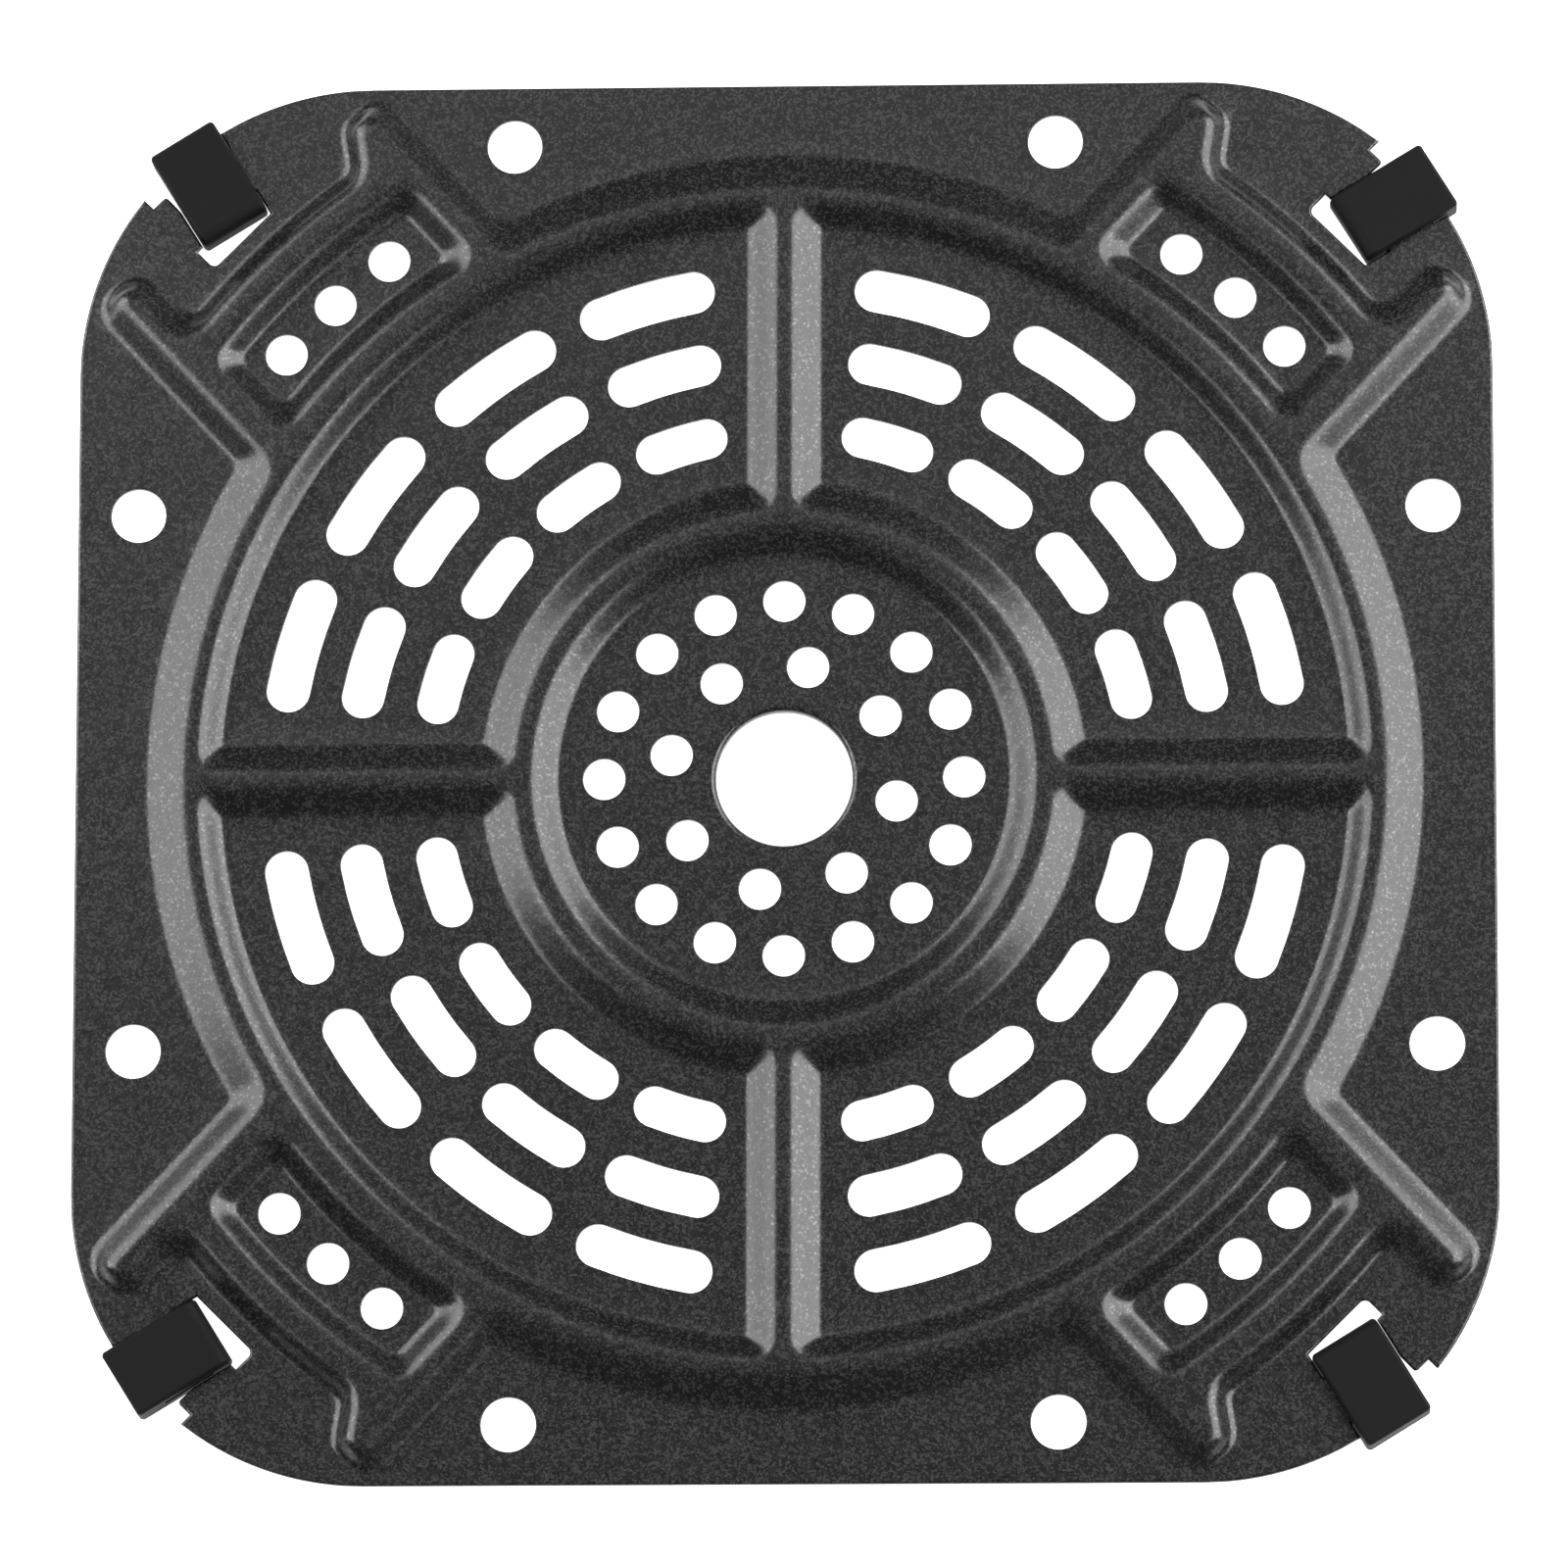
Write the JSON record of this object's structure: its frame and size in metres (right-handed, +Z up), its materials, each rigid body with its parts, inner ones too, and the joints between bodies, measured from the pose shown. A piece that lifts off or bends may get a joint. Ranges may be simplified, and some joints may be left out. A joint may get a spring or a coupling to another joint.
{
  "type": "air fryer tray",
  "caption": "Square pressed-steel crisper tray with air slots, a round hub hole and silicone corner bumpers, for the bottom of an air fryer basket.",
  "frame": {"origin": "middle of the footprint, on the surface that the corner bumpers stand on", "axes": "+Z up through the food side, +X to the right edge, +Y to the rear edge"},
  "size_m": [0.21, 0.21, 0.0065],
  "materials": {
    "nonstick_coating": "satin nonstick coating with a fine metallic fleck",
    "silicone": "matte black silicone"
  },
  "bodies": {
    "root": {"crisper_plate": "nonstick_coating", "bumper_rear_right": "silicone", "bumper_front_right": "silicone", "bumper_front_left": "silicone", "bumper_rear_left": "silicone"}
  },
  "joints": []
}
